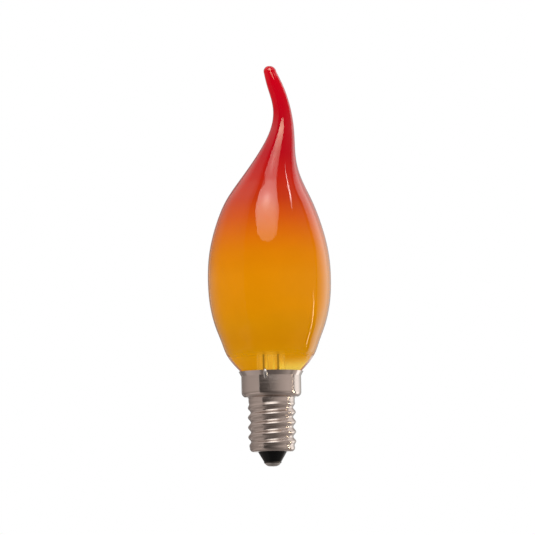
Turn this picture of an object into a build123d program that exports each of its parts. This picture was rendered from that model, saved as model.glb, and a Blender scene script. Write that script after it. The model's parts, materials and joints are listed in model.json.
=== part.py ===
from build123d import *
from math import acos, asin, cos, degrees, hypot, radians, sin, sqrt, tan
import os

# A candle lamp with a bent flame tip, standing on its cap.
# Millimetres. The origin is the lowest point of the centre contact, on the axis of the cap.
# +Z runs up that axis, and the tail of the flame bends in the XZ plane.

# Glass bulb
overall_length = 116.0
belly_diameter = 35.5
bulb_wall = 0.7
mouth_overhang = 0.45
mouth_rise = 0.7
tip_radius = 1.85
tip_solid_length = 8.0
tail_lean = 4.75
flame_sections = 18
neck_wall = 0.8
neck_flare_height = 2.1
foot_lift = 1.8

# The flame's outline, from mouth to tip: share of its length, share of the belly's radius
outline_ratios = [
    (0.070, 0.752),
    (0.191, 0.951),
    (0.295, 1.000),
    (0.380, 0.977),
    (0.498, 0.836),
    (0.567, 0.699),
    (0.605, 0.595),
    (0.685, 0.383),
    (0.793, 0.208),
    (0.900, 0.139),
    (0.975, 0.125),
]
mouth_slope = (1.1, 1)
tip_slope = (-0.1, 1)

# The way the flame's middle line leaves its axis: share of its length, share of the greatest lean
lean_ratios = [
    (0.320, 0.00),
    (0.512, 0.01),
    (0.610, 0.116),
    (0.714, 0.526),
    (0.813, 0.962),
    (0.875, 0.952),
    (0.928, 0.716),
    (1.000, 0.265),
]
tip_lean_slope = (-0.4, 1)

# Cap: centre contact, insulator, knuckle thread, plain neck, skirt and flared lip
bead_height = 0.95
bead_radius = 2.35
bead_flat_radius = 0.6
contact_thickness = 0.4
contact_radius = 2.5
cone_height = 2.85
cone_angle = 30.0
insulator_depth = 2.4
insulator_bore = 1.4
insulator_clearance = 0.1
sheet = 0.3
curl_reach = 2.1
curl_radius = 1.1
thread_major = 13.8
thread_depth = 0.8
thread_pitch = 2.822
thread_length = 13.3
thread_run_out = 1.7
thread_start_angle = 134.0
sections_per_turn = 6
plain_neck_radius = 6.65
plain_neck_length = 1.3
neck_bend = 0.4
skirt_diameter = 17.2
skirt_corner = 1.5
corner_ratio = 0.95
skirt_length = 6.1
lip_length = 1.3
lip_flare = 0.7
cement_gap = 0.7
cement_depth = 4.5
rim_gap = 0.4
rim_solder_angle = 259.5
rim_solder_length = 3.2
rim_solder_width = 1.35
rim_solder_lean = 18.0
rim_solder_drop = 1.15
rim_solder_sink = 0.4

# Glass stem: flare, tube, press, post and exhaust tube
stem_tube_radius = 4.1
stem_tube_length = 11.5
stem_wall = 0.8
press_shoulder = 4.0
press_width = 8.4
press_thickness = 3.6
press_height = 5.0
press_corner = 1.2
post_radius = 1.3
post_head = 1.4
exhaust_radius = 1.5
exhaust_wall = 0.7
exhaust_reach = 4.6

# Lead-in wires, support and filaments
lead_radius = 0.3
lead_spacing = 4.2
lead_bend = 1.0
lead_rise = 4.0
filament_radius = 0.65
filament_clearance = 4.2
filament_spread = 9.2
filament_pitch = 4.8
tab_length = 3.0
tab_lap = 0.4
tab_width = 0.8
tab_thickness = 0.25
bar_overhang = 0.6

# Driver board and its components
board_thickness = 0.8
board_clearance = 0.3
board_lift = 1.2
board_headroom = 0.9
notch_depth = 1.5
edge_margin = 0.9
component_gap = 0.4
bridge_width = 4.7
bridge_depth = 2.4
bridge_height = 3.4
chip_width = 4.4
chip_depth = 1.5
chip_height = 2.3
pin_width = 0.6
pin_thickness = 0.2
pin_reach = 0.5
body_chamfer = 0.2
resistor_width = 1.25
resistor_depth = 0.5
resistor_height = 2.0
terminal_height = 0.4
capacitor_diameter = 5.0
capacitor_length = 7.0
capacitor_lift = 1.4
capacitor_crimp = 0.25
capacitor_lead_spacing = 2.0
capacitor_lead_radius = 0.25
fuse_radius = 1.1
fuse_length = 5.4
fuse_lift = 1.3
fuse_lead_radius = 0.25
fuse_lead_level = 0.6
neutral_radius = 0.125

# Levels, from the contact upwards
contact_level = bead_height
insulator_level = contact_level + contact_thickness
shell_level = insulator_level + cone_height
thread_level = shell_level + curl_radius
neck_level = thread_level + thread_length
shoulder_level = neck_level + plain_neck_length
flare_level = shoulder_level + skirt_length
rim_level = flare_level + lip_length
mouth_level = rim_level + mouth_rise
foot_level = shoulder_level + sheet + foot_lift
flame_length = overall_length - tip_radius - mouth_level
insulator_top = shell_level + insulator_depth
board_bottom = insulator_top + board_lift
exhaust_tip = foot_level - exhaust_reach
board_top = exhaust_tip - board_headroom

# Radii that follow from the sizes above
thread_radius = (thread_major - thread_depth) / 2
thread_throw = thread_depth / 2
thread_inside = thread_major / 2 - thread_depth - sheet
skirt_radius = skirt_diameter / 2
skirt_inside = skirt_radius - sheet
lip_radius = skirt_radius + lip_flare
lip_inside = lip_radius - sheet
neck_radius = skirt_inside - cement_gap
neck_inside = neck_radius - neck_wall
throat_radius = lip_inside - rim_gap
mouth_radius = lip_radius + mouth_overhang
belly_radius = belly_diameter / 2
cone_radius = contact_radius + cone_height * tan(radians(cone_angle))
curl_edge = thread_radius - curl_reach
shoulder_width = skirt_radius - plain_neck_radius
corner_radius = min(skirt_corner, corner_ratio * shoulder_width - neck_bend)
bead_curve = ((bead_radius - bead_flat_radius) ** 2 + bead_height**2) / (2 * bead_height)
bead_angle = degrees(acos(1 - bead_height / bead_curve))

# The flame as if it stood straight: radius over height from its mouth, and its lean to +X
with BuildLine() as meridian:
    Spline(
        (mouth_radius, 0),
        *[(width * belly_radius, share * flame_length) for share, width in outline_ratios],
        (tip_radius, flame_length),
        tangents=(mouth_slope, tip_slope),
    )
with BuildLine() as leaning:
    Spline(
        (0, 0),
        *[(lean * tail_lean, share * flame_length) for share, lean in lean_ratios],
        tangents=((0, 1), tip_lean_slope),
    )


def across(curve, height):
    """Where a line drawn against height crosses one level."""
    return curve.line.edge().find_intersection_points(Axis((0, height, 0), (1, 0, 0)))[0].X


def highest(curve, radius):
    """The highest level at which a line drawn against height is that far from its axis."""
    crossings = curve.line.edge().find_intersection_points(Axis((radius, 0, 0), (0, 1, 0)))
    return max(point.Y for point in crossings)


def flame(inset, length):
    """The flame from its mouth up to one height, all level circles, shrunk by an inset."""
    with BuildPart() as body:
        for step in range(flame_sections + 1):
            height = length * step / flame_sections
            with BuildSketch(Plane((across(leaning, height), 0, mouth_level + height))):
                Circle(across(meridian, height) - inset)
        loft()
    return body.part


# Glass envelope: a revolved neck under the lofted flame, with a round solid tip
with BuildPart() as glass_neck:
    with BuildSketch(Plane.XZ):
        with BuildLine():
            Line((neck_inside, foot_level), (neck_radius, foot_level))
            Line((neck_radius, foot_level), (neck_radius, rim_level - neck_flare_height))
            TangentArc(
                (neck_radius, rim_level - neck_flare_height), (throat_radius, rim_level), tangent=(0, 1)
            )
            Line((throat_radius, rim_level), (mouth_radius, mouth_level))
            Line((mouth_radius, mouth_level), (mouth_radius - bulb_wall, mouth_level))
            Line((mouth_radius - bulb_wall, mouth_level), (throat_radius - neck_wall, rim_level))
            TangentArc(
                (neck_inside, rim_level - neck_flare_height),
                (throat_radius - neck_wall, rim_level),
                tangent=(0, 1),
            )
            Line((neck_inside, rim_level - neck_flare_height), (neck_inside, foot_level))
        make_face()
    revolve(axis=Axis.Z)

with BuildPart() as glass_envelope:
    add(flame(0, flame_length))
    with BuildSketch(Plane((across(leaning, flame_length), 0, mouth_level + flame_length)).rotated((90, 0, 0))):
        with BuildLine():
            Line((0, 0), (tip_radius, 0))
            CenterArc((0, 0), tip_radius, 0, 90)
            Line((0, tip_radius), (0, 0))
        make_face()
    revolve(axis=Axis((across(leaning, flame_length), 0, 0), (0, 0, 1)))
    add(flame(bulb_wall, flame_length - tip_solid_length), mode=Mode.SUBTRACT)
    add(glass_neck.part)

# Glass stem: a flared tube sealed in the neck, a flat press, a post and the closed exhaust tube
tube_level = foot_level + neck_inside - stem_tube_radius + stem_wall
press_level = tube_level + stem_tube_length
press_top = press_level + press_shoulder + press_height
bar_level = press_top + lead_rise
filament_reach = hypot(filament_spread + tab_thickness, filament_pitch + 2 * bar_overhang) / 2
support_level = mouth_level + highest(meridian, filament_reach + bulb_wall + filament_clearance)
filament_length = support_level - bar_level - 2 * (tab_length - tab_lap)
post_top = support_level + post_head

with BuildPart() as glass_stem:
    with BuildSketch(Plane.XZ):
        with BuildLine():
            flare_top = CenterArc((neck_inside, tube_level), neck_inside - stem_tube_radius, 180, 90)
            flare_under = CenterArc(
                (neck_inside, tube_level), neck_inside - stem_tube_radius + stem_wall, 180, 90
            )
            Line(flare_top @ 1, flare_under @ 1)
            Line(flare_under @ 0, (stem_tube_radius - stem_wall, press_level))
            Line((stem_tube_radius - stem_wall, press_level), (stem_tube_radius, press_level))
            Line((stem_tube_radius, press_level), flare_top @ 0)
        make_face()
    revolve(axis=Axis.Z)
    with BuildSketch(Plane.XY.offset(press_level)):
        Circle(stem_tube_radius)
    with BuildSketch(Plane.XY.offset(press_level + press_shoulder)):
        RectangleRounded(press_width, press_thickness, press_corner)
    loft()
    with BuildSketch(Plane.XY.offset(press_level + press_shoulder)):
        RectangleRounded(press_width, press_thickness, press_corner)
    extrude(amount=press_height)
    fillet(faces().sort_by(Axis.Z)[-1].edges(), radius=press_corner / 2)
    with BuildSketch(Plane.XY.offset(press_top)):
        Circle(post_radius)
    extrude(amount=post_top - press_top)
    fillet(faces().sort_by(Axis.Z)[-1].edges(), radius=post_radius / 2)
    with BuildSketch(Plane.XZ):
        with BuildLine():
            Line((0, exhaust_tip), (0, exhaust_tip + exhaust_wall))
            CenterArc((0, exhaust_tip + exhaust_radius), exhaust_radius - exhaust_wall, 270, 90)
            Line(
                (exhaust_radius - exhaust_wall, exhaust_tip + exhaust_radius),
                (exhaust_radius - exhaust_wall, press_level),
            )
            Line((exhaust_radius - exhaust_wall, press_level), (exhaust_radius, press_level))
            Line((exhaust_radius, press_level), (exhaust_radius, exhaust_tip + exhaust_radius))
            CenterArc((0, exhaust_tip + exhaust_radius), exhaust_radius, 270, 90)
        make_face()
    revolve(axis=Axis.Z)
    with Locations((-lead_spacing / 2, 0, press_level), (lead_spacing / 2, 0, press_level)):
        Cylinder(
            lead_radius,
            press_top - press_level,
            align=(Align.CENTER, Align.CENTER, Align.MIN),
            mode=Mode.SUBTRACT,
        )
    with Locations(Location((0, 0, support_level), (0, 90, 0))):
        Cylinder(lead_radius, 2 * post_radius, mode=Mode.SUBTRACT)

# Lead-in wires: straight up from the board through the press, bent out to a cross bar
bar_reach = filament_spread / 2 - tab_thickness / 2 - lead_radius
bar_length = filament_pitch + 2 * bar_overhang


def lead_in_wire(side):
    """One lead with the bar that carries two filaments."""
    with BuildPart() as lead:
        with BuildLine() as route:
            FilletPolyline(
                (side * lead_spacing / 2, 0, board_top - notch_depth),
                (side * lead_spacing / 2, 0, press_top + lead_bend),
                (side * bar_reach, 0, bar_level),
                radius=lead_bend,
            )
        with BuildSketch(Plane(route.line @ 0, z_dir=route.line % 0)):
            Circle(lead_radius)
        sweep()
        with Locations(Location((side * bar_reach, 0, bar_level), (90, 0, 0))):
            Cylinder(lead_radius, bar_length)
    return lead.part


# The support joins all four filaments at the top of the post
with BuildPart() as top_support_wire:
    with Locations(Location((0, 0, support_level), (0, 90, 0))):
        Cylinder(lead_radius, 2 * bar_reach)
    for side in (-1, 1):
        with Locations(Location((side * bar_reach, 0, support_level), (90, 0, 0))):
            Cylinder(lead_radius, bar_length)

# Filaments: coated rods with a flat tab at each end, welded to the outside of the bars
filament_level = bar_level - tab_lap + tab_length
filaments = []
tabs = []
corners = [(x, y) for y in (-1, 1) for x in (-1, 1)]
for x_side, y_side in corners:
    x = x_side * filament_spread / 2
    y = y_side * filament_pitch / 2
    with BuildPart() as filament:
        with BuildSketch(Plane((x, y, filament_level))):
            Circle(filament_radius)
        extrude(amount=filament_length)
        fillet(filament.edges().filter_by(GeomType.CIRCLE), radius=filament_radius / 3)
    filaments.append(filament.part)
    for level in (filament_level - tab_length, filament_level + filament_length):
        with BuildPart() as tab:
            with BuildSketch(Plane((x, y, level))):
                Rectangle(tab_thickness, tab_width)
            extrude(amount=tab_length)
        tabs.append(tab.part)

# Cap shell: one drawn sheet from the curled lower edge to the flared lip
curl_centre = (thread_radius - curl_radius, thread_level)
with BuildPart() as curl:
    with BuildSketch(Plane.XZ):
        with BuildLine():
            outside = CenterArc(curl_centre, curl_radius, 270, 90)
            inside = CenterArc(curl_centre, curl_radius - sheet, 270, 90)
            Line(outside @ 1, inside @ 1)
            Line(outside @ 0, (curl_edge, shell_level))
            Line((curl_edge, shell_level), (curl_edge, shell_level + sheet))
            Line((curl_edge, shell_level + sheet), inside @ 0)
        make_face()
    revolve(axis=Axis.Z)

with BuildPart() as skirt:
    with BuildSketch(Plane.XZ):
        with BuildLine():
            outside = FilletPolyline(
                (plain_neck_radius, neck_level),
                (plain_neck_radius, shoulder_level),
                (skirt_radius, shoulder_level),
                (skirt_radius, flare_level),
                radius=[neck_bend, corner_radius],
            )
            inside = FilletPolyline(
                (plain_neck_radius - sheet, neck_level),
                (plain_neck_radius - sheet, shoulder_level + sheet),
                (skirt_inside, shoulder_level + sheet),
                (skirt_inside, flare_level),
                radius=[neck_bend + sheet, corner_radius - sheet],
            )
            Line(outside @ 0, inside @ 0)
            Polyline(outside @ 1, (lip_radius, rim_level), (lip_inside, rim_level), inside @ 1)
        make_face()
    revolve(axis=Axis.Z)


def thread_skin(inset):
    """A knuckle thread's surface: level circles whose centre goes once round the axis per pitch."""
    with BuildPart() as skin:
        steps = round(sections_per_turn * thread_length / thread_pitch)
        for step in range(steps + 1):
            rise = thread_length * step / steps
            turn = radians(thread_start_angle + 360 * rise / thread_pitch)
            fade = min(1, rise / thread_run_out, (thread_length - rise) / thread_run_out)
            blend = max(0, 1 - (thread_length - rise) / thread_run_out)
            radius = thread_radius + blend * (plain_neck_radius - thread_radius)
            throw = thread_throw * fade
            with BuildSketch(Plane((throw * cos(turn), throw * sin(turn), thread_level + rise))):
                Circle(radius - inset)
        loft()
    return skin.faces().sort_by(Axis.Z)


outer_faces = thread_skin(0)
inner_faces = thread_skin(sheet)
end_rings = [Face(outer_faces[end].outer_wire(), [inner_faces[end].outer_wire()]) for end in (0, -1)]
thread_tube = Solid(Shell([outer_faces[1], inner_faces[1], *end_rings]))

with BuildPart() as cap_shell:
    add(thread_tube)
    add(curl.part)
    add(skirt.part)

# Insulator: black glass pressed into the curled edge, with a cone down to the contact
insulator_radius = thread_inside - insulator_clearance
seat_angle = degrees(asin((insulator_radius - curl_centre[0]) / (curl_radius - sheet)))
with BuildPart() as cap_insulator:
    with BuildSketch(Plane.XZ):
        with BuildLine():
            seat = CenterArc(curl_centre, curl_radius - sheet, 270, seat_angle)
            Line(seat @ 1, (insulator_radius, insulator_top))
            Polyline(
                (insulator_radius, insulator_top),
                (insulator_bore / 2, insulator_top),
                (insulator_bore / 2, insulator_level),
                (contact_radius, insulator_level),
                (cone_radius, shell_level),
                (curl_edge, shell_level),
                (curl_edge, shell_level + sheet),
                seat @ 0,
            )
        make_face()
    revolve(axis=Axis.Z)

# Centre contact: a small plate with the live lead soldered through it under a flat bead
with BuildPart() as centre_contact:
    with BuildSketch(Plane.XY.offset(contact_level)):
        Circle(contact_radius)
        Circle(fuse_lead_radius, mode=Mode.SUBTRACT)
    extrude(amount=contact_thickness)

with BuildPart() as contact_solder:
    with BuildSketch(Plane.XZ):
        with BuildLine():
            Line((0, contact_level), (bead_radius, contact_level))
            CenterArc((bead_flat_radius, bead_curve), bead_curve, 270, bead_angle)
            Line((bead_flat_radius, 0), (0, 0))
            Line((0, 0), (0, contact_level))
        make_face()
    revolve(axis=Axis.Z)
    with Locations((0, 0, contact_level)):
        Cylinder(
            fuse_lead_radius,
            contact_level / 2,
            align=(Align.CENTER, Align.CENTER, Align.MAX),
            mode=Mode.SUBTRACT,
        )

# Neutral wire: from the board, over the neck's foot, up the cement and out over the lip
board_half = sqrt((thread_inside - board_clearance) ** 2 - (board_thickness / 2) ** 2)
neutral_x = edge_margin - board_half
gap_middle = neck_radius + cement_gap / 2


def on_wire_side(radius, height):
    """A point in the upright plane of the rim solder."""
    angle = radians(rim_solder_angle)
    return (radius * cos(angle), radius * sin(angle), height)


with BuildPart() as neutral_wire:
    with BuildLine() as route:
        FilletPolyline(
            (neutral_x, 0, board_top - notch_depth),
            (neutral_x, 0, board_top + board_headroom),
            on_wire_side(plain_neck_radius - sheet - 2 * neck_bend, shoulder_level),
            on_wire_side(gap_middle, shoulder_level + sheet + corner_radius),
            on_wire_side(gap_middle, flare_level - neck_bend),
            on_wire_side(skirt_inside - neutral_radius / 2, flare_level + neck_bend),
            on_wire_side(lip_inside - rim_gap / 2, rim_level),
            on_wire_side(lip_radius, rim_level + 1.5 * neutral_radius),
            radius=2 * neutral_radius,
        )
    with BuildSketch(Plane(route.line @ 0, z_dir=route.line % 0)):
        Circle(neutral_radius)
    sweep()

# Cement between the neck and the skirt, flush with the lip
with BuildPart() as cap_cement:
    with BuildSketch(Plane.XZ):
        with BuildLine():
            Line((neck_radius, rim_level - cement_depth), (neck_radius, rim_level - neck_flare_height))
            TangentArc(
                (neck_radius, rim_level - neck_flare_height), (throat_radius, rim_level), tangent=(0, 1)
            )
            Polyline(
                (throat_radius, rim_level),
                (lip_inside, rim_level),
                (skirt_inside, flare_level),
                (skirt_inside, rim_level - cement_depth),
                (neck_radius, rim_level - cement_depth),
            )
        make_face()
    revolve(axis=Axis.Z)
    add(neutral_wire.part, mode=Mode.SUBTRACT)

# Solder that ties the neutral wire to the outside of the lip: a drop that ran down the flare
drop_middle = on_wire_side(lip_radius - rim_solder_sink, rim_level - rim_solder_drop)
drop_axis = on_wire_side(sin(radians(rim_solder_lean)), cos(radians(rim_solder_lean)))
drop_side = (-sin(radians(rim_solder_angle)), cos(radians(rim_solder_angle)), 0)
with BuildPart() as rim_solder:
    with BuildSketch(Plane(drop_middle, x_dir=drop_axis, z_dir=drop_side)):
        with BuildLine():
            EllipticalCenterArc((0, 0), rim_solder_length / 2, rim_solder_width / 2, 0, arc_size=180)
            Line((-rim_solder_length / 2, 0), (rim_solder_length / 2, 0))
        make_face()
    revolve(axis=Axis(drop_middle, drop_axis))
    for neighbour in (skirt, glass_neck, cap_cement, neutral_wire):
        add(neighbour.part, mode=Mode.SUBTRACT)

# Driver board: an upright plate, notched at the top for the lead-ins and the neutral wire
board_height = board_top - board_bottom
with BuildPart() as driver_board:
    with BuildSketch(Plane.XZ):
        with Locations((0, (board_bottom + board_top) / 2)):
            Rectangle(2 * board_half, board_height)
        for x, radius in (
            (-lead_spacing / 2, lead_radius),
            (lead_spacing / 2, lead_radius),
            (neutral_x, neutral_radius),
        ):
            with Locations((x, board_top - notch_depth / 2)):
                Rectangle(2 * radius, notch_depth, mode=Mode.SUBTRACT)
    extrude(amount=board_thickness / 2, both=True)

# Components on the front face stand out to -Y
front_face = -board_thickness / 2
bridge_x = edge_margin - board_half + bridge_width / 2
bridge_z = board_bottom + component_gap + pin_reach + bridge_height / 2
chip_z = bridge_z + bridge_height / 2 + chip_height / 2 + 2 * pin_reach + component_gap / 2
resistor_x = bridge_x + bridge_width / 2 + component_gap + resistor_width / 2
fuse_x = resistor_x + resistor_width / 2 + component_gap + fuse_radius
fuse_y = front_face - component_gap - fuse_radius


def package(width, depth, height, x, z):
    """A moulded body with two bent pins above and below, flat on the front of the board."""
    with BuildPart() as body:
        with Locations((x, front_face, z)):
            Box(width, depth, height, align=(Align.CENTER, Align.MAX, Align.CENTER))
        chamfer(body.faces().sort_by(Axis.Y)[0].edges(), length=body_chamfer)
        for column in (-width / 4, width / 4):
            for end in (-1, 1):
                with Locations((x + column, front_face, z + end * (height + pin_thickness) / 2)):
                    Box(pin_width, depth / 2, pin_thickness, align=(Align.CENTER, Align.MAX, Align.CENTER))
                with Locations((x + column, front_face, z + end * (height + pin_reach) / 2)):
                    Box(pin_width, pin_thickness, pin_reach, align=(Align.CENTER, Align.MAX, Align.CENTER))
    return body.part


def chip_resistor(z):
    """A flat resistor with a raised terminal at each end."""
    with BuildPart() as chip:
        with Locations((resistor_x, front_face, z)):
            Box(
                resistor_width,
                resistor_depth,
                resistor_height,
                align=(Align.CENTER, Align.MAX, Align.CENTER),
            )
        with Locations((resistor_x, front_face - resistor_depth, z)):
            Box(
                resistor_width - terminal_height / 2,
                terminal_height / 2,
                resistor_height - 2 * terminal_height,
                mode=Mode.SUBTRACT,
            )
    return chip.part


# Smoothing capacitor: a crimped can behind the board, its leads bent to the board
capacitor_radius = capacitor_diameter / 2
capacitor_y = board_thickness / 2 + capacitor_radius
capacitor_base = board_bottom + capacitor_lift
with BuildPart() as smoothing_capacitor:
    with BuildSketch(Plane.XZ.offset(-capacitor_y)):
        with BuildLine():
            Polyline(
                (0, capacitor_base),
                (capacitor_radius, capacitor_base),
                (capacitor_radius, capacitor_base + 2 * capacitor_crimp),
                (capacitor_radius - capacitor_crimp, capacitor_base + 4 * capacitor_crimp),
                (capacitor_radius, capacitor_base + 6 * capacitor_crimp),
                (capacitor_radius, capacitor_base + capacitor_length),
                (0, capacitor_base + capacitor_length),
                close=True,
            )
        make_face()
    revolve(axis=Axis((0, capacitor_y, 0), (0, 0, 1)))
    fillet(smoothing_capacitor.edges().group_by(Axis.Z)[-1], radius=capacitor_crimp)
    for x in (-capacitor_lead_spacing / 2, capacitor_lead_spacing / 2):
        with BuildLine() as route:
            FilletPolyline(
                (x, capacitor_y, capacitor_base + capacitor_crimp),
                (x, capacitor_y, capacitor_base - capacitor_lift / 2),
                (x, board_thickness / 2, capacitor_base - capacitor_lift / 2),
                radius=2 * capacitor_lead_radius,
            )
        with BuildSketch(Plane(route.line @ 0, z_dir=route.line % 0)):
            Circle(capacitor_lead_radius)
        sweep()

# Fusible resistor: its lower lead is the live wire down to the centre contact
fuse_bottom = board_bottom + fuse_lift
fuse_top = fuse_bottom + fuse_length
live_level = insulator_top + fuse_lead_level
with BuildPart() as fusible_resistor:
    with BuildSketch(Plane((fuse_x, fuse_y, fuse_bottom))):
        Circle(fuse_radius)
    extrude(amount=fuse_length)
    fillet(fusible_resistor.edges().filter_by(GeomType.CIRCLE), radius=fuse_radius / 2)
    with BuildLine() as live_route:
        FilletPolyline(
            (fuse_x, fuse_y, fuse_bottom + fuse_radius / 2),
            (fuse_x, fuse_y, live_level),
            (0, 0, live_level),
            (0, 0, contact_level / 2),
            radius=2 * fuse_lead_radius,
        )
    with BuildSketch(Plane(live_route.line @ 0, z_dir=live_route.line % 0)):
        Circle(fuse_lead_radius)
    sweep()
    with BuildLine() as board_route:
        FilletPolyline(
            (fuse_x, fuse_y, fuse_top - fuse_radius / 2),
            (fuse_x, fuse_y, fuse_top + 3 * fuse_lead_radius),
            (fuse_x, front_face, fuse_top + 3 * fuse_lead_radius),
            radius=2 * fuse_lead_radius,
        )
    with BuildSketch(Plane(board_route.line @ 0, z_dir=board_route.line % 0)):
        Circle(fuse_lead_radius)
    sweep()

# Every piece goes to its own file, named as a person would name it
pieces = {
    "glass_envelope": glass_envelope.part,
    "glass_stem": glass_stem.part,
    "lead_in_wire_left": lead_in_wire(-1),
    "lead_in_wire_right": lead_in_wire(1),
    "top_support_wire": top_support_wire.part,
    "cap_shell": cap_shell.part,
    "cap_insulator": cap_insulator.part,
    "centre_contact": centre_contact.part,
    "contact_solder": contact_solder.part,
    "cap_cement": cap_cement.part,
    "rim_solder": rim_solder.part,
    "neutral_wire": neutral_wire.part,
    "driver_board": driver_board.part,
    "bridge_rectifier": package(bridge_width, bridge_depth, bridge_height, bridge_x, bridge_z),
    "driver_chip": package(chip_width, chip_depth, chip_height, bridge_x, chip_z),
    "sense_resistor_lower": chip_resistor(bridge_z),
    "sense_resistor_upper": chip_resistor(chip_z),
    "smoothing_capacitor": smoothing_capacitor.part,
    "fusible_resistor": fusible_resistor.part,
}
for number, filament in enumerate(filaments, start=1):
    pieces[f"led_filament_{number}"] = filament
for number, tab in enumerate(tabs):
    end = ("lower", "upper")[number % 2]
    pieces[f"filament_tab_{end}_{number // 2 + 1}"] = tab

os.makedirs("parts", exist_ok=True)
for name, piece in pieces.items():
    piece.label = name
    export_step(piece, f"parts/{name}.step")
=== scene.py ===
import json
import math

import bpy
import numpy as np
from mathutils import Matrix, Vector
from mathutils.bvhtree import BVHTree


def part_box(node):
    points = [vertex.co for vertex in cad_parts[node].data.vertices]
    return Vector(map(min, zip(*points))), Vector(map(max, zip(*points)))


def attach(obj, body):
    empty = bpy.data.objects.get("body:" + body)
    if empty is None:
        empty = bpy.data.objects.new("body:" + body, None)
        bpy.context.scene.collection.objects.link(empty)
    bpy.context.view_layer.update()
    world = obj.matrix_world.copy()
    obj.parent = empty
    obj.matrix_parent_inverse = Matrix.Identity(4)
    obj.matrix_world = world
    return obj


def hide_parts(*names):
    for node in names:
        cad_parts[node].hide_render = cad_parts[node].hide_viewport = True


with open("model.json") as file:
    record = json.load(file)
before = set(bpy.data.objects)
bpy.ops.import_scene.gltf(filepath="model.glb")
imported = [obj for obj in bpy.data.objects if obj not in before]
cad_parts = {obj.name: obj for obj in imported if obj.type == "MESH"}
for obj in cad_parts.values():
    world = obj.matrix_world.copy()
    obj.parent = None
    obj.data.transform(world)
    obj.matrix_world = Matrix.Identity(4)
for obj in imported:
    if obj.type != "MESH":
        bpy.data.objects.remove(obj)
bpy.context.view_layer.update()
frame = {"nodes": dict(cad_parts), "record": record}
nodes = frame["nodes"]
mm = 0.001
print("frame loaded:", len(nodes), "nodes")

# the photograph's view: from slightly below, a long lens, the lamp leaning a touch to the left
view = {
    "frameWidth": 154.35 * mm,      # what 535 pixels span at the lamp
    "distance": 1.2,
    "elevation": -5.0,
    "roll": 1.05,
    "aim": (-0.48 * mm, 0, 57.4 * mm),
    "sensor": 36.0,
    "clipStart": 0.01,
}


def makeCamera():
    camData = bpy.data.cameras.new("photoCamera")
    cam = bpy.data.objects.new("photoCamera", camData)
    bpy.context.scene.collection.objects.link(cam)
    tilt = math.radians(view["elevation"])
    aim = Vector(view["aim"])
    away = Vector((0, -math.cos(tilt), math.sin(tilt)))
    turn = (-away).to_track_quat("-Z", "Y").to_matrix().to_4x4()
    lean = Matrix.Rotation(math.radians(-view["roll"]), 4, "Z")
    cam.matrix_world = Matrix.Translation(aim + away * view["distance"]) @ turn @ lean
    camData.sensor_width = view["sensor"]
    camData.lens = view["sensor"] * view["distance"] / view["frameWidth"]
    camData.clip_start = view["clipStart"]
    bpy.context.scene.camera = cam


makeCamera()
print("camera set")


# small helpers for meshes
def meshObject(name, points, faces, smooth=True):
    mesh = bpy.data.meshes.new(name)
    mesh.from_pydata([tuple(p) for p in points], [], faces)
    mesh.update()
    if smooth:
        mesh.shade_smooth()
    made = bpy.data.objects.new(name, mesh)
    bpy.context.scene.collection.objects.link(made)
    return made


def gridFaces(rows, columns):
    # faces of a grid whose points run along each row
    stride = columns + 1
    corners = [row * stride + column for row in range(rows) for column in range(columns)]
    return [(corner, corner + 1, corner + stride + 1, corner + stride) for corner in corners]


# small helpers for node trees: they take and give sockets
def fillSockets(tree, node, sockets):
    # another node's socket is linked, a number or a colour is set
    for socket, value in sockets.items():
        if isinstance(value, bpy.types.NodeSocket):
            tree.links.new(value, node.inputs[socket])
        else:
            node.inputs[socket].default_value = value


def addNode(tree, kind, sockets=(), **settings):
    node = tree.nodes.new("ShaderNode" + kind)
    for setting, value in settings.items():
        setattr(node, setting, value)
    fillSockets(tree, node, dict(sockets))
    return node


def newMaterial(name):
    mat = bpy.data.materials.new(name)
    mat.use_nodes = True
    return mat, mat.node_tree, mat.node_tree.nodes["Principled BSDF"]


def calc(tree, operation, *values):
    return addNode(tree, "Math", enumerate(values), operation=operation).outputs["Value"]


def mixColours(tree, factor, first, second, blend="MIX"):
    # socket names repeat on this node, so its colours are reached by number
    mix = addNode(tree, "Mix", {0: factor, 6: first, 7: second}, data_type="RGBA", blend_type=blend)
    return mix.outputs[2]


def spread(tree, value, low, high, **settings):
    # low becomes 0 and high becomes 1
    level = addNode(tree, "MapRange", {"Value": value, "From Min": low, "From Max": high}, **settings)
    return level.outputs["Result"]


def objectPlace(tree):
    return addNode(tree, "TexCoord").outputs["Object"]


def splitPlace(tree):
    return addNode(tree, "SeparateXYZ", {"Vector": objectPlace(tree)}).outputs


def fillRamp(ramp, stops):
    elements = ramp.color_ramp.elements
    while len(elements) > 1:
        elements.remove(elements[-1])
    elements[0].position = stops[0][0]
    elements[0].color = stops[0][1]
    for share, colour in stops[1:]:
        elements.new(share).color = colour


def heightRamp(tree, stops):
    # each stop: height in mm and its colour
    low, high = stops[0][0], stops[-1][0]
    ramp = addNode(tree, "ValToRGB", {"Fac": spread(tree, splitPlace(tree)["Z"], low * mm, high * mm)})
    fillRamp(ramp, [((z - low) / (high - low), colour) for z, colour in stops])
    return ramp.outputs["Color"]


def clearFromBehind(tree, surface, end):
    behind = addNode(tree, "NewGeometry").outputs["Backfacing"]
    clear = addNode(tree, "BsdfTransparent").outputs["BSDF"]
    pick = addNode(tree, "MixShader", {0: behind, 1: surface, 2: clear})
    fillSockets(tree, end, {"Surface": pick.outputs["Shader"]})


def linear(red, green, blue):
    def channel(value):
        value = value / 255
        return value / 12.92 if value <= 0.04045 else ((value + 0.055) / 1.055) ** 2.4
    return (channel(red), channel(green), channel(blue), 1)


def grey(value):
    return (value, value, value, 1)


# effects that the materials share: a noise, its middle range spread from Low to High
softNoise = {"detail": 3, "roughness": 0.5, "range": (0.3, 0.7)}
fineNoise = {"detail": 2, "roughness": 0.6, "range": (0.35, 0.75)}


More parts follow.
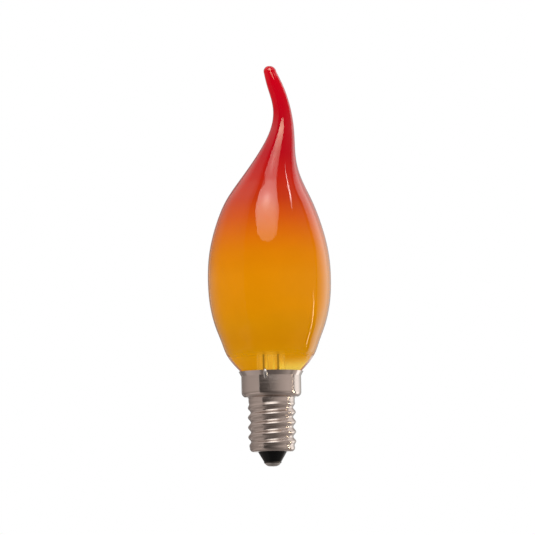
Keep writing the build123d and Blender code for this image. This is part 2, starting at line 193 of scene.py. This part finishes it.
def newGroup(name, inputs):
    group = bpy.data.node_groups.new(name, "ShaderNodeTree")
    for label, default in inputs.items():
        socket = group.interface.new_socket(label, in_out="INPUT", socket_type="NodeSocketFloat")
        socket.default_value = default
    group.interface.new_socket("Value", in_out="OUTPUT", socket_type="NodeSocketFloat")
    return group, group.nodes.new("NodeGroupInput").outputs


def endInNoise(group, start, vector, values):
    noise = addNode(group, "TexNoise", {
        "Vector": vector, "Scale": start["Scale"],
        "Detail": values["detail"], "Roughness": values["roughness"],
    })
    level = addNode(group, "MapRange", {
        "Value": noise.outputs["Fac"], "From Min": values["range"][0], "From Max": values["range"][1],
        "To Min": start["Low"], "To Max": start["High"],
    })
    fillSockets(group, group.nodes.new("NodeGroupOutput"), {"Value": level.outputs["Result"]})
    return group


def patchGroup():
    # soft uneven patches
    group, start = newGroup("softPatches", {"Scale": 60, "Low": 0, "High": 1})
    return endInNoise(group, start, objectPlace(group), softNoise)


def scuffGroup():
    # fine rubbed lines that run round the lamp, as handling and the holder leave them
    group, start = newGroup("scuffs", {"Scale": 900, "Stretch": 0.08, "Low": 0, "High": 1})
    axes = splitPlace(group)
    vector = addNode(group, "CombineXYZ", {
        "X": calc(group, "MULTIPLY", axes["X"], start["Stretch"]),
        "Y": calc(group, "MULTIPLY", axes["Y"], start["Stretch"]),
        "Z": axes["Z"],
    })
    return endInNoise(group, start, vector.outputs["Vector"], fineNoise)


groups = {"patches": patchGroup(), "scuffs": scuffGroup()}


def effect(tree, name, values):
    return addNode(tree, "Group", values, node_tree=groups[name]).outputs["Value"]


def addBump(tree, shader, height, strength, distance):
    bump = addNode(tree, "Bump", {"Strength": strength, "Distance": distance, "Height": height})
    fillSockets(tree, shader, {"Normal": bump.outputs["Normal"]})


# the flame's coat, from the window at the neck to the tip: height in mm and its colour or gloss
coat = {
    "stops": [
        (27.0, (216, 150, 10)),
        (31.6, (214, 146, 4)),
        (33.2, (214, 140, 1)),
        (35.5, (213, 137, 1)),
        (40.0, (218, 141, 2)),
        (45.0, (226, 142, 2)),
        (54.0, (229, 140, 2)),
        (60.5, (226, 130, 4)),
        (66.0, (222, 111, 10)),
        (71.0, (213, 86, 16)),
        (76.5, (200, 56, 18)),
        (83.0, (196, 34, 21)),
        (90.0, (187, 11, 25)),
        (99.0, (190, 5, 24)),
        (106.0, (200, 3, 27)),
        (112.0, (207, 1, 25)),
        (116.0, (207, 1, 25)),
    ],
    "roughness": 0.045,
    "bend": 1.2,
    "patches": {"Scale": 140, "Low": 0.975, "High": 1.02},
    "peelScale": 420,
    "peelBump": (0.12, 0.02 * mm),
    "rimGloss": (0.42, 0.68),       # how edge-on the glass is where the lacquer's gloss starts and is full
    "gloss": [
        (27.0, 0.0), (61.0, 0.0), (63.5, 0.03), (66.5, 0.08), (70.4, 0.16), (72.7, 0.24), (75.0, 0.3),
        (76.8, 0.33), (79.0, 0.25), (81.2, 0.22), (82.3, 0.06), (88.0, 0.06), (90.4, 0.09), (92.7, 0.24),
        (95.0, 0.42), (97.5, 0.8), (101.0, 0.5), (104.0, 0.1), (111.0, 0.05), (113.6, 0.5), (116.0, 0.6),
    ],
    "lacquerRoughness": 0.04,
    "lacquerBend": 1.5,
    "windowTop": 32.7,
    "windowFade": 1.9,
    "windowAlpha": 0.26,
}


def windowMask(tree, top, alpha):
    low, high = coat["stops"][0][0], coat["stops"][-1][0]
    clear, solid = grey(alpha), grey(1)
    return heightRamp(tree, [(low, clear), (top - coat["windowFade"], clear), (top, solid), (high, solid)])


def flameMaterial():
    mat, tree, shader = newMaterial("flameCoat")
    colours = heightRamp(tree, [(z, linear(*rgb)) for z, rgb in coat["stops"]])
    lacquer = heightRamp(tree, [(z, grey(share)) for z, share in coat["gloss"]])
    rim = spread(tree, addNode(tree, "LayerWeight").outputs["Facing"], *coat["rimGloss"])
    # the far side's outer face stays solid, so the window's edges keep their colour
    behind = addNode(tree, "NewGeometry").outputs["Backfacing"]
    window = windowMask(tree, coat["windowTop"], coat["windowAlpha"])
    fillSockets(tree, shader, {
        "Base Color": mixColours(tree, 1, colours, effect(tree, "patches", coat["patches"]), "MULTIPLY"),
        "Roughness": coat["roughness"],
        "IOR": coat["bend"],
        "Alpha": calc(tree, "MAXIMUM", window, behind),
        "Coat Weight": calc(tree, "MAXIMUM", rim, lacquer),
        "Coat Roughness": coat["lacquerRoughness"],
        "Coat IOR": coat["lacquerBend"],
    })
    addBump(tree, shader, effect(tree, "patches", {"Scale": coat["peelScale"]}), *coat["peelBump"])
    return mat


# inside, the coat's colour with a painted glow, an emission that stands in for light coming through the
# frosted wall:
# clear towards the window, solid on the far wall, and paler low on one side, where the coat is thin,
# a painted brightening that stands in for the backdrop's light showing through
innerFrost = {
    "colour": (214, 167, 8),
    # painted glow: the emission strength that stands in for light coming through the frosted wall
    "glow": 0.41,
    "patches": {"Scale": 200, "Low": 0.5, "High": 0.7},
    "windowRise": 1.6,              # how far its window reaches above the coat's
    "windowAlpha": 0.1,
    # painted brightening: a pale colour that stands in for the backdrop's light showing through where the
    # coat is thin
    "paintedShineColour": (250, 252, 128),
    "paintedShineThrough": {"X": (2.2, 4.6), "Z": (32.2, 28.4)},       # in mm, where it starts and is full
}


def innerFrostMaterial():
    mat, tree, shader = newMaterial("innerFrost")
    axes = splitPlace(tree)
    # mask of the painted brightening, low on one side
    paintedShineThrough = [
        spread(tree, axes[axis], start * mm, full * mm, interpolation_type="SMOOTHSTEP")
        for axis, (start, full) in innerFrost["paintedShineThrough"].items()
    ]
    colours = [linear(*innerFrost[name]) for name in ("colour", "paintedShineColour")]
    tint = mixColours(tree, calc(tree, "MULTIPLY", *paintedShineThrough), *colours)
    window = windowMask(tree, coat["windowTop"] + innerFrost["windowRise"], innerFrost["windowAlpha"])
    facing = calc(tree, "SUBTRACT", 1, addNode(tree, "NewGeometry").outputs["Backfacing"])
    fillSockets(tree, shader, {
        "Base Color": tint,
        "Roughness": effect(tree, "patches", innerFrost["patches"]),
        "Alpha": calc(tree, "MAXIMUM", facing, window),
        # painted glow: an emission in the coat's colour, standing in for light through the frosted wall
        "Emission Color": tint,
        "Emission Strength": innerFrost["glow"],
    })
    return mat


# the glass: measured on the CAD glass, then skinned as smooth level rings
skin = {
    "mouth": 27.4 * mm,             # the neck below it is straight, the flame above it leans
    "tipRing": 114.3 * mm,          # the last measured ring
    "voidTop": 105.5 * mm,          # the tip above it is solid
    "wall": 0.7 * mm,
    "neckLevels": 24,
    "flameLevels": 21,
    "rings": 190,
    "tipRings": 12,
    "segments": 144,
    "rayStart": 0.1,                # outside the lamp
    "footGap": 1e-5,                # the lowest ray runs this far above the rim
    "slopeRings": 3,                # rings below the tip that give its lean
    "tipLean": 0.3,                 # share of that lean which the tip keeps
    "voidCap": 0.6,                 # height of the void's end, as a share of its last radius
}


def evenly(low, high, steps):
    return [low + (high - low) * i / steps for i in range(steps + 1)]


def cubicThrough(places, values):
    # a natural cubic through the measured points, as a function
    places, values = np.array(places), np.array(values)
    gaps = np.diff(places)
    count = len(places)
    matrix = np.eye(count)
    right = np.zeros(count)
    for i in range(1, count - 1):
        matrix[i, i - 1:i + 2] = gaps[i - 1], 2 * (gaps[i - 1] + gaps[i]), gaps[i]
        right[i] = 6 * ((values[i + 1] - values[i]) / gaps[i] - (values[i] - values[i - 1]) / gaps[i - 1])
    bends = np.linalg.solve(matrix, right)

    def at(place):
        i = int(np.clip(np.searchsorted(places, place) - 1, 0, count - 2))
        a, b = places[i + 1] - place, place - places[i]
        return (
            (bends[i] * a ** 3 + bends[i + 1] * b ** 3) / (6 * gaps[i])
            + (values[i] / gaps[i] - bends[i] * gaps[i] / 6) * a
            + (values[i + 1] / gaps[i] - bends[i + 1] * gaps[i] / 6) * b
        )
    return at


def measureGlass():
    # rings of the CAD glass: height, radius and centre of each
    glass = nodes["glass_envelope"].data
    tree = BVHTree.FromPolygons([v.co for v in glass.vertices], [p.vertices for p in glass.polygons])
    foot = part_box("glass_envelope")[0].z
    start = skin["rayStart"]

    def sides(level):
        left = tree.ray_cast(Vector((-start, 0, level)), Vector((1, 0, 0)))[0].x
        right = tree.ray_cast(Vector((start, 0, level)), Vector((-1, 0, 0)))[0].x
        return (right - left) / 2, (right + left) / 2

    neck = evenly(foot + skin["footGap"], skin["mouth"], skin["neckLevels"])[:-1]
    rings = [(z, sides(z)[0], 0) for z in neck]
    rings[0] = (foot, *rings[0][1:])
    flame = evenly(skin["mouth"], skin["tipRing"], skin["flameLevels"])
    radii, centres = zip(*[sides(z) for z in flame])
    radiusAt, centreAt = cubicThrough(flame, radii), cubicThrough(flame, centres)
    for z in evenly(skin["mouth"], skin["tipRing"], skin["rings"]):
        rings.append((z, radiusAt(z), centreAt(z)))
    return rings


def roundTip(rings, topZ):
    # the tip's last rings close in as a round end
    tipZ, tipR, tipX = rings[-1]
    lowZ, _, lowX = rings[-1 - skin["slopeRings"]]
    slope = (tipX - lowX) / (tipZ - lowZ) * skin["tipLean"]
    for angle in evenly(0, math.pi / 2, skin["tipRings"])[1:-1]:
        z = tipZ + (topZ - tipZ) * math.sin(angle)
        rings.append((z, tipR * math.cos(angle), tipX + slope * (z - tipZ)))


def makeGlass():
    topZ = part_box("glass_envelope")[1].z
    rings = measureGlass()
    roundTip(rings, topZ)
    inner = [(z, r - skin["wall"], x) for z, r, x in rings if z < skin["voidTop"]]
    segments = skin["segments"]
    points = []
    for z, r, x in rings + inner[::-1]:
        for k in range(segments):
            turn = 2 * math.pi * k / segments
            points.append((x + r * math.cos(turn), r * math.sin(turn), z))
    outerTop, voidTop = len(points), len(points) + 1
    endZ, endR, endX = inner[-1]
    points += [(rings[-1][2], 0, topZ), (endX, 0, endZ + endR * skin["voidCap"])]

    # the first point of each ring: up the outside, then down the inside
    starts = [i * segments for i in range(len(rings) + len(inner))]
    outside, inside = starts[:len(rings)], starts[len(rings):]
    faces, slots = [], []
    for slot, side in enumerate((outside, inside)):
        for low in side[:-1]:
            for k in range(segments):
                a, b = low + k, low + (k + 1) % segments
                faces.append((a, b, b + segments, a + segments))
                slots.append(slot)
    for k in range(segments):
        after = (k + 1) % segments
        faces.append((outside[-1] + k, outside[-1] + after, outerTop))
        faces.append((inside[0] + after, inside[0] + k, voidTop))
        faces.append((after, k, inside[-1] + k, inside[-1] + after))
        slots += [0, 1, 1]
    glass = meshObject("flameGlass", points, faces)
    glass.data.materials.append(flameMaterial())
    glass.data.materials.append(innerFrostMaterial())
    glass.data.polygons.foreach_set("material_index", slots)
    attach(glass, "root")
    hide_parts("glass_envelope")


makeGlass()
print("glass skinned")


# metals; wear makes the cap's thread duller and rougher than the skirt above it, by height in mm
metals = {
    "nickel": {
        "colour": (0.64, 0.56, 0.515, 1), "low": 0.08, "high": 0.18, "bump": 0.25,
        "worn": {"heights": ((5, 1), (19.6, 1), (20.8, 0), (28, 0)), "rougher": 0.07, "speckle": 0.5},
    },
    "tin": {"colour": (0.62, 0.60, 0.58, 1), "low": 0.18, "high": 0.38, "bump": 0.5},
    "wire": {"colour": (0.17, 0.145, 0.12, 1), "low": 0.25, "high": 0.4, "bump": 0.1},
    "plate": {"colour": (0.07, 0.065, 0.06, 1), "low": 0.3, "high": 0.45, "bump": 0.1},
    "copper": {"colour": (0.80, 0.42, 0.26, 1), "low": 0.22, "high": 0.35, "bump": 0.1},
}
metalWear = {
    "rubScale": 1400,
    "stretch": 0.12,
    "dentScale": 700,
    "speckleScale": 2300,
    "bumpDepth": 0.04 * mm,
}


def metalMaterial(name, grade):
    values = metals[grade]
    mat, tree, shader = newMaterial(name)
    roughness = effect(tree, "scuffs", {
        "Scale": metalWear["rubScale"], "Stretch": metalWear["stretch"],
        "Low": values["low"], "High": values["high"],
    })
    height = effect(tree, "patches", {"Scale": metalWear["dentScale"]})
    if "worn" in values:
        worn = values["worn"]
        share = heightRamp(tree, [(z, grey(level)) for z, level in worn["heights"]])
        speckle = effect(tree, "patches", {"Scale": metalWear["speckleScale"], "High": worn["speckle"]})
        roughness = calc(tree, "MULTIPLY_ADD", share, worn["rougher"], roughness)
        height = calc(tree, "MULTIPLY_ADD", share, speckle, height)
    fillSockets(tree, shader, {"Base Color": values["colour"], "Metallic": 1, "Roughness": roughness})
    addBump(tree, shader, height, values["bump"], metalWear["bumpDepth"])
    return mat


# dull and glossy surfaces, each a little uneven in gloss and shade
paints = {
    "blackGlass": {
        "colour": (0.004, 0.004, 0.004, 1), "low": 0.06, "high": 0.12, "scale": 300, "bump": 0.05,
        "bend": 1.25,
    },
    "cement": {"colour": linear(176, 158, 120), "low": 0.8, "high": 0.95, "scale": 1500, "bump": 0.6},
    "phosphor": {"colour": linear(232, 198, 60), "low": 0.5, "high": 0.65, "scale": 1200, "bump": 0.3},
    "laminate": {"colour": linear(28, 92, 52), "low": 0.3, "high": 0.45, "scale": 1800, "bump": 0.15},
    "moulded": {"colour": linear(30, 30, 31), "low": 0.45, "high": 0.6, "scale": 2600, "bump": 0.3},
    "chip": {"colour": linear(24, 24, 27), "low": 0.3, "high": 0.5, "scale": 2600, "bump": 0.2},
    "sleeve": {"colour": linear(28, 36, 58), "low": 0.15, "high": 0.25, "scale": 700, "bump": 0.1},
    "dipped": {"colour": linear(70, 128, 118), "low": 0.3, "high": 0.42, "scale": 1500, "bump": 0.35},
}
paintWear = {
    "broader": 4,                   # the shade's patches are this much larger than the gloss's
    "dark": 0.9,
    "light": 1.06,
    "bend": 1.5,
    "bumpDepth": 0.03 * mm,
}


def paintMaterial(name):
    values = paints[name]
    mat, tree, shader = newMaterial(name)
    patches = effect(tree, "patches", {
        "Scale": values["scale"], "Low": values["low"], "High": values["high"],
    })
    shade = effect(tree, "patches", {
        "Scale": values["scale"] / paintWear["broader"],
        "Low": paintWear["dark"], "High": paintWear["light"],
    })
    fillSockets(tree, shader, {
        "Base Color": mixColours(tree, 1, values["colour"], shade, "MULTIPLY"),
        "Roughness": patches,
        "IOR": values.get("bend", paintWear["bend"]),
    })
    addBump(tree, shader, patches, values["bump"], paintWear["bumpDepth"])
    return mat


# the stem's clear glass, with a faint painted amber glow, an emission that stands in for light coming
# through the amber round it
clearGlass = {
    "sockets": {
        "Base Color": (1, 0.97, 0.8, 1), "Transmission Weight": 1, "IOR": 1.3,
        # painted glow: a faint amber emission standing in for light from the coat round the stem
        "Emission Color": (1, 0.88, 0.2, 1), "Emission Strength": 0.035,
    },
    "ripple": {"Scale": 260, "Low": 0.0, "High": 0.03},
    "bump": (0.1, 0.05 * mm),
}


def stemMaterial():
    mat, tree, shader = newMaterial("clearGlass")
    ripple = effect(tree, "patches", clearGlass["ripple"])
    fillSockets(tree, shader, {**clearGlass["sockets"], "Roughness": ripple})
    addBump(tree, shader, ripple, *clearGlass["bump"])
    return mat


finishes = {
    "nickel_plate": metalMaterial("nickelPlate", "nickel"),
    "tin_solder": metalMaterial("tinSolder", "tin"),
    "lead_wire": metalMaterial("leadWire", "wire"),
    "contact_plate": metalMaterial("contactPlate", "plate"),
    "bare_copper": metalMaterial("bareCopper", "copper"),
    "black_glass": paintMaterial("blackGlass"),
    "lamp_cement": paintMaterial("cement"),
    "phosphor_coat": paintMaterial("phosphor"),
    "board_laminate": paintMaterial("laminate"),
    "moulded_black": paintMaterial("moulded"),
    "resistor_body": paintMaterial("chip"),
    "can_sleeve": paintMaterial("sleeve"),
    "fuse_coat": paintMaterial("dipped"),
    "clear_glass": stemMaterial(),
}
slotOf = {part["node"]: part["material_slot"] for part in frame["record"]["subparts"]}
for name, node in nodes.items():
    if slotOf[name] in finishes:
        node.data.materials.clear()
        node.data.materials.append(finishes[slotOf[name]])
print("finishes set")


# the studio: panels on a dome round the lamp. Azimuth runs from the camera's side, positive to
# its right; the rows of shades go up from the lowest elevation, each from first azimuth to last
studio = {
    "radius": 0.5,
    "centre": 0.05,                 # the dome's middle, above the lamp's foot
    "columns": 20,                  # across a panel
    "steps": 4,                     # from one row of a panel to the next
    "around": 90,                   # steps of a disc's edge
    "stripRadius": 0.42,
}
warm, neutral = (1.0, 0.89, 0.84), (1.0, 0.98, 0.96)
panels = {
    # each row: elevation, first and last azimuth, shades from first to last
    "leftPanel": {
        "tint": warm,
        "rows": (
            (-45, -48, -150, (0.42, 0.42, 0.25)),
            (-14, -48, -150, (0.36, 0.34, 0.2)),
            (-5, -48, -150, (0.5, 0.45, 0.25)),
            (5, -48, -150, (0.54, 0.48, 0.26)),
            (10, -48, -150, (0.3, 0.28, 0.16)),
            (18, -47, -150, (0.35, 0.35, 0.22)),
            (47, -55, -150, (0.45, 1.15, 1.15, 1.12, 1.1, 1.0, 0.9)),
            (58, -61, -150, (0.55, 1.6, 1.6, 1.5, 1.35, 1.15, 1.0)),
            (78, -65, -150, (0.6, 1.7, 1.7, 1.6, 1.4, 1.2, 1.1)),
        ),
    },
    "leftFlag": {
        "tint": warm,
        "rows": (
            (-45, -151, -176, (0.2, 0.2)),
            (78, -151, -176, (0.3, 0.3)),
        ),
    },
    "frontScreen": {
        "tint": warm,
        "rows": (
            (-45, -47.5, 93, (0.08, 0.10, 0.26, 0.4, 0.5, 0.5)),
            (-14, -47.5, 93, (0.06, 0.07, 0.15, 0.3, 0.4, 0.45)),
            (-5, -47.5, 96, (0.08, 0.10, 0.26, 0.5, 0.62, 0.6)),
            (5, -47.5, 96, (0.08, 0.10, 0.26, 0.5, 0.62, 0.6)),
            (12, -47.5, 96, (0.05, 0.05, 0.11, 0.21, 0.32, 0.4)),
            (47, -54, 96, (0.04, 0.04, 0.05, 0.09, 0.24, 0.4)),
            (78, -64, 96, (0.03, 0.03, 0.03, 0.05, 0.12, 0.2)),
        ),
    },
    "rightGap": {
        "tint": warm,
        "rows": (
            (-45, 93.5, 119, (0.08, 0.08)),
            (-20, 93.5, 116, (0.08, 0.08)),
            (-4, 96.5, 100, (0.08, 0.08)),
            (7, 96.5, 100, (0.08, 0.08)),
            (20, 96.5, 105, (0.08, 0.08)),
            (78, 96.5, 108, (0.08, 0.08)),
        ),
    },
    "rightPanel": {
        "tint": neutral,
        "rows": (
            (-45, 119.5, 140, (1.4, 1.6, 1.3)),
            (-20, 116.5, 140, (1.5, 1.7, 1.4)),
            (-4, 100.5, 137, (1.15, 1.35, 1.05)),
            (5, 100.5, 137, (1.15, 1.4, 1.1)),
            (20, 105.5, 137, (1.4, 1.7, 1.4)),
            (40, 108.5, 137, (2.0, 2.4, 2.0)),
            (78, 108.5, 137, (2.0, 2.4, 2.0)),
        ),
    },
    "rightFlag": {
        "tint": neutral,
        "rows": (
            (-45, 141, 176, (0.75, 0.3)),
            (78, 138, 176, (0.75, 0.3)),
        ),
    },
}


def cardMaterial(name, oneSided=False):
    mat = bpy.data.materials.new(name)
    mat.use_nodes = True
    tree = mat.node_tree
    tree.nodes.clear()
    shade = addNode(tree, "Attribute", attribute_name="shade").outputs["Color"]
    glow = addNode(tree, "Emission", {"Color": shade}).outputs["Emission"]
    end = addNode(tree, "OutputMaterial", {"Surface": glow})
    if oneSided:
        clearFromBehind(tree, glow, end)
    return mat


cardGlow = cardMaterial("studioCard")


def tinted(shades, tint=neutral):
    return [tuple(shade * part for part in tint) for shade in shades]


def hangCard(card, colours, mat=cardGlow):
    # only the gloss of metal and glass shows a card
    layer = card.data.attributes.new("shade", "FLOAT_COLOR", "POINT")
    for i, colour in enumerate(colours):
        layer.data[i].color = (*colour, 1)
    card.data.materials.append(mat)
    card.visible_camera = False
    card.visible_shadow = False
    card.visible_diffuse = False
    card.visible_transmission = False


def skyPlace(azimuth, elevation, distance):
    turn, rise = math.radians(azimuth), math.radians(elevation)
    return Vector((
        distance * math.cos(rise) * math.sin(turn),
        -distance * math.cos(rise) * math.cos(turn),
        distance * math.sin(rise) + studio["centre"],
    ))


def makePanel(name, panel):
    elevations, firsts, lasts, rows = zip(*panel["rows"])
    columns, steps = studio["columns"], studio["steps"]
    shares = np.arange(columns + 1) / columns
    table = np.array([np.interp(shares, np.linspace(0, 1, len(row)), row) for row in rows])
    rowPlaces = np.arange(steps * (len(rows) - 1) + 1) / steps
    points, shades = [], []
    for level in np.interp(rowPlaces, range(len(rows)), elevations):
        first, last = np.interp(level, elevations, firsts), np.interp(level, elevations, lasts)
        for i, share in enumerate(shares):
            points.append(skyPlace(first + (last - first) * share, level, studio["radius"]))
            shades.append(float(np.interp(level, elevations, table[:, i])))
    faces = gridFaces(len(rowPlaces) - 1, columns)
    hangCard(meshObject(name, points, faces), tinted(shades, panel["tint"]))


# the softbox: "up" runs from -1 at its bottom corner to 1 at its top, "across" from left to right
softbox = {
    "azimuth": -3,
    "elevation": 48.5,
    "distance": 0.44,
    "spread": 28.0,                 # half the angle that it spans
    "slim": 0.8,
    "lift": 0.07,
    "levels": 33,
    "slices": (
        (-1, 4.6), (-0.74, 6.2), (-0.55, 7.6), (-0.38, 9.0), (-0.24, 9.8), (-0.08, 9.9), (0.05, 9.5),
        (0.25, 8.6), (0.69, 7.2), (0.7, 1.9), (1, 1.5),
    ),
    "tints": (
        (-1, (1, 0.92, 0.88)),
        (-0.8, (1, 0.94, 0.78)),
        (-0.6, (1, 0.97, 0.7)),
        (-0.1, (1, 0.97, 0.76)),
        (0.3, (1, 0.97, 0.88)),
        (1, (1, 0.95, 0.92)),
    ),
    "across": ((-1, 0.7), (-0.75, 1), (0.5, 1), (0.75, 0.75), (1, 0.4)),
    "hot": {"shade": 7.0, "across": -0.08, "up": 0.22, "wide": 0.28, "tall": 0.26},
    "light": 1.2,
}


def boxColour(across, up):
    # shade and tint change with the level, fall off at the sides and rise to a hot spot inside
    hot = softbox["hot"]
    spot = ((across - hot["across"]) / hot["wide"]) ** 2 + ((up - hot["up"]) / hot["tall"]) ** 2
    level = float(np.interp(up, *zip(*softbox["slices"])))
    shade = level * float(np.interp(across, *zip(*softbox["across"]))) + hot["shade"] * math.exp(-spot)
    marks, tints = zip(*softbox["tints"])
    return [shade * float(np.interp(up, marks, channel)) for channel in zip(*tints)]


def octagon(name):
    # an eight-sided front, cut into level slices, with each point's place on it
    centre = skyPlace(softbox["azimuth"], softbox["elevation"], softbox["distance"])
    facing = centre.to_track_quat("Z", "Y").to_matrix()
    radius = softbox["distance"] * math.tan(math.radians(softbox["spread"]))
    lift = Vector((0, 0, softbox["lift"] - studio["centre"]))
    corner = math.sqrt(0.5)
    levels = {up for up, shade in softbox["slices"]} | {-corner, 0, corner}
    levels = sorted(levels | set(np.linspace(-1, 1, softbox["levels"])))
    columns = studio["columns"]
    points, places = [], []
    for up in levels:
        half = float(np.interp(abs(up), (0, corner, 1), (1, corner, 0)))
        for i in range(columns + 1):
            across = half * (2 * i / columns - 1)
            onFront = Vector((across * radius * softbox["slim"], up * radius, 0))
            points.append(centre + lift + facing @ onFront)
            places.append((across, up))
    return meshObject(name, points, gridFaces(len(levels) - 1, columns), smooth=False), places


def makeSoftbox():
    box, places = octagon("softbox")
    hangCard(box, [boxColour(across, up) for across, up in places])
    key, places = octagon("softKey")               # the same box as seen by matt surfaces
    hangCard(key, tinted([softbox["light"]] * len(places)))
    key.visible_diffuse = True
    key.visible_glossy = False
    key.visible_shadow = True


# two slim lights that draw thin streaks on the glass, each along a path on the dome
strips = {
    # each path: azimuth, elevation and shade
    "slimStrip": {
        "path": ((66, 41.4, 3), (71, 45.4, 8), (76, 48.6, 22), (83.5, 52.8, 24)),
        "width": 2.9,
        "tint": neutral,
    },
    "lowStrip": {
        "path": ((88.5, -2, 9), (92.8, -8.5, 19), (97.3, -15, 25), (101.6, -21, 23), (104, -23.6, 17)),
        "width": 2.2,
        "tint": (1.0, 0.86, 0.62),
    },
}


def makeStrip(name, strip):
    # a band of one width along its path
    radius = studio["stripRadius"]
    azimuths, elevations, levels = zip(*strip["path"])
    knots = [skyPlace(azimuth, elevation, radius) for azimuth, elevation in zip(azimuths, elevations)]
    last = len(knots) - 1
    points, shades = [], []
    for i, knot in enumerate(knots):
        along = knots[min(i + 1, last)] - knots[max(i - 1, 0)]
        out = knot - Vector((0, 0, studio["centre"]))
        side = along.cross(out).normalized() * radius * math.radians(strip["width"]) / 2
        points += [knot - side, knot + side]
        shades += [levels[i]] * 2
    hangCard(meshObject(name, points, gridFaces(last, 1), smooth=False), tinted(shades, strip["tint"]))


def roundTheLamp(ring):
    # direction and shade of each step, from a ring of azimuths and shades
    azimuths, shades = zip(*ring)
    for azimuth in evenly(-180, 180, studio["around"])[:-1]:
        turn = math.radians(azimuth)
        yield math.sin(turn), -math.cos(turn), float(np.interp(azimuth, azimuths, shades))


# level discs below and above the lamp; the ring's shades follow the azimuth
discs = {
    "underFlag": {
        "level": -0.12, "radius": 0.3, "middle": 0.2,
        "ring": (
            (-180, 0.3), (-150, 0.45), (-118, 0.5), (-95, 0.72), (-52, 0.78), (-46, 0.25), (-13, 0.08),
            (20, 0.12), (50, 0.32), (84, 0.7), (90, 0.35), (100, 0.45), (105, 0.7), (136, 0.55), (180, 0.3),
        ),
    },
    "topFlag": {"level": 0.53, "radius": 0.13, "middle": 0.3, "ring": ((-180, 0.3), (180, 0.3))},
}


def makeDisc(name, disc):
    points, shades = [(0, 0, disc["level"])], [disc["middle"]]
    for x, y, shade in roundTheLamp(disc["ring"]):
        points.append((x * disc["radius"], y * disc["radius"], disc["level"]))
        shades.append(shade)
    count = studio["around"]
    faces = [(0, 1 + i, 1 + (i + 1) % count) for i in range(count)]
    hangCard(meshObject(name, points, faces, smooth=False), tinted(shades, warm))


# a collar over the cap, seen only from below: it keeps the box and the strips off the thread
collar = {
    "level": 0.032,
    "inner": 0.011,
    "outer": 0.072,
    "edge": 0.5,                    # the outer edge's share of the shade
    "whiter": (0.7, 1.4),           # from the first shade to the second, the tint goes to neutral
    "ring": (
        (-180, 0.3), (-150, 0.5), (-100, 0.62), (-52, 0.62), (-40, 0.45), (-24, 1.4), (-4, 2.0), (16, 1.7),
        (36, 0.7), (62, 0.55), (90, 0.7), (100, 0.5), (105, 1.2), (136, 1.1), (150, 0.6), (180, 0.3),
    ),
}


def makeCollar():
    points, colours = [], []
    for x, y, shade in roundTheLamp(collar["ring"]):
        tint = [float(np.interp(shade, collar["whiter"], pair)) for pair in zip(warm, neutral)]
        for radius, share in ((collar["inner"], 1), (collar["outer"], collar["edge"])):
            points.append((x * radius, y * radius, collar["level"]))
            colours += tinted([shade * share], tint)
    faces = []
    for i in range(studio["around"]):
        low, after = 2 * i, 2 * ((i + 1) % studio["around"])
        faces.append((low, after, after + 1, low + 1))
    card = meshObject("collar", points, faces, smooth=False)
    hangCard(card, colours, cardMaterial("collarCard", oneSided=True))


makeCollar()
for name, panel in panels.items():
    makePanel(name, panel)
makeSoftbox()
for name, strip in strips.items():
    makeStrip(name, strip)
for name, disc in discs.items():
    makeDisc(name, disc)
print("cards hung")

# the world fills in softly, over a pale floor
surroundings = {
    "fill": 1.0,
    "floorLevel": -0.25,
    "floorSize": 3.0,
    "floorShade": 0.85,
    "floorRoughness": 0.9,
    "floorGlow": 0.4,
}


def backgroundShare(tree):
    # one for rays from the camera and for what metal and glass show, none for light on the lamp
    rays = addNode(tree, "LightPath").outputs
    seen = calc(tree, "MAXIMUM", rays["Is Camera Ray"], rays["Is Glossy Ray"])
    return calc(tree, "MAXIMUM", seen, rays["Is Transmission Ray"])


def makeWorld():
    world = bpy.data.worlds.new("studioWorld")
    bpy.context.scene.world = world
    world.use_nodes = True
    tree = world.node_tree
    colour = mixColours(tree, backgroundShare(tree), grey(surroundings["fill"]), grey(1))
    fillSockets(tree, tree.nodes["Background"], {"Color": colour})


def makeFloor():
    half = surroundings["floorSize"] / 2
    level = surroundings["floorLevel"]
    corners = [(-half, -half, level), (half, -half, level), (half, half, level), (-half, half, level)]
    floor = meshObject("paleFloor", corners, [(0, 1, 2, 3)], smooth=False)
    mat, tree, shader = newMaterial("paleFloor")
    fillSockets(tree, shader, {
        "Base Color": grey(surroundings["floorShade"]),
        "Roughness": surroundings["floorRoughness"],
        "Emission Color": grey(1),
        "Emission Strength": calc(tree, "MULTIPLY", backgroundShare(tree), surroundings["floorGlow"]),
    })
    # clear from below, so the lamp can be looked at from there
    clearFromBehind(tree, shader.outputs["BSDF"], tree.nodes["Material Output"])
    floor.data.materials.append(mat)


makeWorld()
makeFloor()
bpy.context.scene.view_settings.view_transform = "Standard"
print("studio set")
